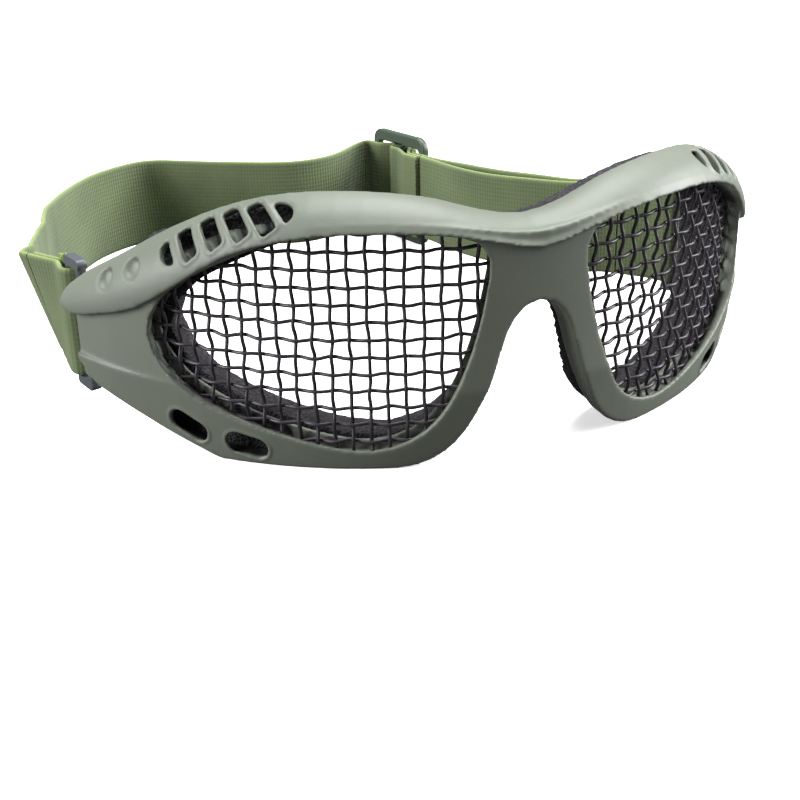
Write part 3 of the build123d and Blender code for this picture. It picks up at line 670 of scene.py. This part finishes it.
def two_sides(loop):
    """Splits an edge loop at its square ends into its two long sides, both running the same way."""
    count = len(loop)
    corners = []
    for i in range(count):
        a = loop[i] - loop[i - 1]
        b = loop[(i + 1) % count] - loop[i]
        cosine = a @ b / np.linalg.norm(a) / np.linalg.norm(b)
        if cosine < CORNER_COSINE:
            corners.append(i)
    if len(corners) != 4:
        raise SystemExit(f"a strip has {len(corners)} corners")
    gaps = [np.linalg.norm(loop[corners[k]] - loop[corners[(k + 1) % 4]]) for k in range(4)]
    first = 0 if gaps[0] + gaps[2] < gaps[1] + gaps[3] else 1
    a, b, c, d = [corners[(first + k) % 4] for k in range(4)]

    def run(start, stop):
        stop = stop if stop >= start else stop + count
        return np.array([loop[i % count] for i in range(start, stop + 1)])

    return run(b, c), run(d, a)[::-1]


def distances(points):
    """How far along a polyline each of its points lies."""
    return np.concatenate([[0], np.cumsum(np.linalg.norm(np.diff(points, axis=0), axis=1))])


def resample(points, shares):
    """Points of a polyline at shares of its length."""
    along = distances(points)
    along /= along[-1]
    return np.column_stack([np.interp(shares, along, points[:, k]) for k in range(3)])


def strip_path(node_name):
    """Centre lines of the lower and upper edges of a CAD strip, evenly spaced."""
    mesh = merged(node_name)
    centres = []
    for upward in (False, True):
        left, right = two_sides(edge_loop(mesh, upward))
        if len(left) == len(right):
            centre = (left + right) / 2
        else:
            even = np.linspace(0, 1, max(len(left), len(right)))
            centre = (resample(left, even) + resample(right, even)) / 2
        centres.append(centre)
    mesh.free()
    lower, upper = centres
    if np.linalg.norm(lower[0] - upper[0]) > np.linalg.norm(lower[0] - upper[-1]):
        upper = upper[::-1]
    shares = np.linspace(0, 1, max(4, int(distances(lower)[-1] / RIBBON_STEP)))
    return resample(lower, shares), resample(upper, shares)


def webbing_thickness():
    """Thickness of the webbing, from the square end of a CAD strip."""
    mesh = merged("strap_loop_left")
    left, right = two_sides(edge_loop(mesh, False))
    mesh.free()
    return float(np.linalg.norm(left[0] - right[0]))


STRAP_THICKNESS = webbing_thickness()


def webbing(name, lower, upper, rows=None):
    """A strip of webbing between two centre lines, or some of its rows, with rounded edges and UV in mm."""
    first, stop = rows or (0, len(lower))
    ahead = np.gradient(lower + upper, axis=0)
    ahead /= np.linalg.norm(ahead, axis=1)[:, None]
    up = upper - lower
    width = np.linalg.norm(up, axis=1)
    up /= width[:, None]
    side = np.cross(ahead, up)
    side /= np.linalg.norm(side, axis=1)[:, None]
    along = distances(lower)
    section = []
    for k in range(RIBBON_COLUMNS + 1):
        level = 0.5 - 0.5 * math.cos(math.pi * k / RIBBON_COLUMNS)
        inset = min(level, 1 - level) * STRAP_WIDTH
        fall = 1.0 if inset > RIBBON_EDGE else math.sqrt(1 - (1 - inset / RIBBON_EDGE) ** 2)
        section.append((level, fall * (1 - RIBBON_EDGE_SHARE) + RIBBON_EDGE_SHARE))
    ring = section + [(level, -fall) for level, fall in reversed(section)]
    points, uvs, faces = [], [], []
    count = len(ring)

    def add_ring(i):
        for level, fall in ring:
            points.append(lower[i] + up[i] * (width[i] * level) + side[i] * (fall * STRAP_THICKNESS / 2))
            uvs.append((along[i] / MM, level * STRAP_WIDTH / MM))

    for i in range(first, stop):
        add_ring(i)
    for i in range(stop - first - 1):
        for k in range(count):
            a, b = i * count + k, i * count + (k + 1) % count
            faces.append((a, b, b + count, a + count))
    for i, way in ((first, -1), (stop - 1, 1)):
        faces.append(tuple(range(len(points), len(points) + count))[::way])
        add_ring(i)
    return add_mesh(name, points, faces, uvs)


def lean(points, sideways):
    """Points on the wearer's right moved sideways by one of the two lists of the strap's lean."""
    moved = np.array(points)
    for point in moved:
        if point[0] < LEAN_BEYOND:
            back = (point[1] - PINS_FOOT[1]) / MM - LEAN_ZERO
            point[0] -= MM * float(np.interp(back, LEAN_BACK, sideways))
    return moved


def leaning_path(node_name):
    """The path of a strip, leaning where the strap does."""
    lower, upper = strip_path(node_name)
    if node_name in ("strap_band", "strap_loop_right"):
        lower, upper = lean(lower, LEAN_LOWER), lean(upper, LEAN_UPPER)
    return lower, upper


def plain_strip(node_name, name, body):
    """A strip of webbing that moves with one body."""
    dress(webbing(name, *leaning_path(node_name)), WEBBING, body, node_name, slot="webbing")


def split_strip(node_name, names):
    """A strip in two halves that meet in its middle."""
    lower, upper = leaning_path(node_name)
    cut = len(lower) // 2
    for k, rows in enumerate(((0, cut + 1), (cut, len(lower)))):
        obj = webbing(names[k], lower, upper, rows)
        paint(obj, WEBBING)
        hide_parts(node_name)
        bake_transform(obj)


def loose_threads(name, body):
    """Short loose threads on the webbing's loop at the wearer's right link."""
    chance = random.Random(name)
    points, faces = [], []
    start = Vector(PINS_FOOT + THREADS_FROM_PINS)
    stop = start + Vector(THREADS_LINE)
    for _ in range(THREAD_COUNT):
        root = start.lerp(stop, chance.random())
        way = Vector([chance.uniform(-1, 1) * share for share in THREAD_SPREAD]) + THREAD_RISE * UP
        bend = Vector([chance.uniform(-1, 1) for _ in range(3)]) * THREAD_BEND
        tip = root + way.normalized() * chance.uniform(*THREAD_LENGTHS_MM) * MM
        path = [tuple(p) for p in (root, root.lerp(tip, 0.5) + bend, tip)]
        lay_tube(points, faces, path, THREAD_RADIUS, THREAD_SIDES)
    dress(add_mesh(name, points, faces), THREAD, body, slot="webbing")


def starts_near(node_name, other):
    """True if a strip's path starts nearer the other node than it ends."""
    lower, _ = strip_path(node_name)
    middle = middle_of(other)
    return np.linalg.norm(lower[0] - middle) < np.linalg.norm(lower[-1] - middle)


def strap():
    """All sections of the strap."""
    plain_strip("strap_loop_left", "loop_left_webbing", "link_left")
    plain_strip("strap_loop_right", "loop_right_webbing", "link_right")
    plain_strip("strap_crossing", "crossing_webbing", "adjuster")
    plain_strip("strap_end_fold", "end_fold_webbing", "adjuster")
    loose_threads("loop_threads", "link_right")
    for node_name, stem, side in (
        ("strap_band", "band", "right"),
        ("strap_outer_layer", "outer", "left"),
        ("strap_inner_layer", "inner", "left"),
    ):
        order = (f"link_{side}", "adjuster")
        if not starts_near(node_name, f"strap_link_{side}"):
            order = order[::-1]
        split_strip(node_name, [f"{stem}_webbing_{body}" for body in order])


# Small hard parts

def soften(node_name, width):
    """Small moulded radii on a CAD node."""
    obj = nodes[node_name]
    weld = obj.modifiers.new("weld", "WELD")
    weld.merge_threshold = WELD_GAP
    bevel = obj.modifiers.new("radii", "BEVEL")
    bevel.width = width
    bevel.segments = SOFTEN_SEGMENTS
    bevel.limit_method = "ANGLE"
    bevel.angle_limit = SOFTEN_TURN
    bevel.harden_normals = True


def hard_parts():
    """The links, the hinge pins and the adjuster, which stay CAD nodes."""
    for side in ("left", "right"):
        soften(f"strap_link_{side}", LINK_RADIUS)
        paint(nodes[f"strap_link_{side}"], LINK_PLASTIC)
        paint(nodes[f"hinge_pin_{side}"], STEEL)
    soften("tri_glide", BUCKLE_RADIUS)
    paint(nodes["tri_glide"], BUCKLE_PLASTIC)


# Stage, light and camera

def floor_material():
    """White to the camera, and dark to what stands on it, so that undersides stay dark."""
    material, _, add = new_material("studio_floor")
    tree = material.node_tree
    white = add("ShaderNodeBsdfDiffuse", Color=WHITE)
    glow = add("ShaderNodeEmission", Color=WHITE, Strength=FLOOR_GLOW)
    seen = add("ShaderNodeAddShader")
    dark = add("ShaderNodeBsdfDiffuse", Color=(FLOOR_BOUNCE, FLOOR_BOUNCE, FLOOR_BOUNCE, 1.0))
    choice = add("ShaderNodeMixShader")
    feed(seen.inputs[0], white.outputs[0])
    feed(seen.inputs[1], glow.outputs[0])
    feed(choice.inputs[0], add("ShaderNodeLightPath").outputs["Is Camera Ray"])
    feed(choice.inputs[1], dark.outputs[0])
    feed(choice.inputs[2], seen.outputs[0])
    feed(tree.nodes["Material Output"].inputs["Surface"], choice.outputs[0])
    return material


def stage():
    """A white world and floor, and soft lights from above and from both sides."""
    world = bpy.data.worlds.new("studio")
    world.use_nodes = True
    tree = world.node_tree
    background = tree.nodes["Background"]
    path = tree.nodes.new("ShaderNodeLightPath")
    strength = tree.nodes.new("ShaderNodeMapRange")
    feed_all(strength, Value=path.outputs["Is Camera Ray"], To_Min=WORLD_LIGHT, To_Max=1.0)
    feed_all(background, Color=WHITE, Strength=strength.outputs[0])
    bpy.context.scene.world = world
    half = FLOOR_HALF
    floor = add_mesh("floor", [(-half, -half, 0), (half, -half, 0), (half, half, 0), (-half, half, 0)],
                     [(0, 1, 2, 3)])
    paint(floor, floor_material())
    for name, place, size, power in LIGHTS:
        data = bpy.data.lights.new(name, "AREA")
        data.shape = "SQUARE"
        data.size = size
        data.energy = power
        lamp = bpy.data.objects.new(name, data)
        lamp.location = place
        aim = Vector(LIGHT_AIM) - Vector(place)
        lamp.rotation_euler = aim.to_track_quat("-Z", "Y").to_euler()
        bpy.context.scene.collection.objects.link(lamp)


def camera():
    """The camera that took the photograph, as its outline gives it."""
    data = bpy.data.cameras.new("photo_camera")
    data.lens = CAMERA_LENS_MM
    data.sensor_width = CAMERA_SENSOR_MM
    data.shift_x = (PHOTO_SIZE_PX / 2 - PRINCIPAL_POINT_PX[0]) / PHOTO_SIZE_PX
    data.shift_y = (PRINCIPAL_POINT_PX[1] - PHOTO_SIZE_PX / 2) / PHOTO_SIZE_PX
    data.clip_start = CAMERA_NEAREST
    obj = bpy.data.objects.new("photo_camera", data)
    turn = Matrix.Rotation(math.radians(-CAMERA_AZIMUTH), 4, "Z")
    tilt = Matrix.Rotation(math.radians(90 - CAMERA_DOWN), 4, "X")
    roll = Matrix.Rotation(math.radians(CAMERA_ROLL), 4, "Z")
    obj.matrix_world = Matrix.Translation(Vector(PINS_FOOT + CAMERA_FROM_PINS)) @ turn @ tilt @ roll
    bpy.context.scene.collection.objects.link(obj)
    bpy.context.scene.camera = obj


def build():
    """All pieces of the goggles, then what they are seen in."""
    frame_moulding()
    for side in ("left", "right"):
        wire_cloth(f"mesh_lens_{side}", f"wire_cloth_{side}")
    face_foam()
    strap()
    hard_parts()
    stage()
    camera()
    bpy.context.scene.view_settings.view_transform = "Standard"


build()
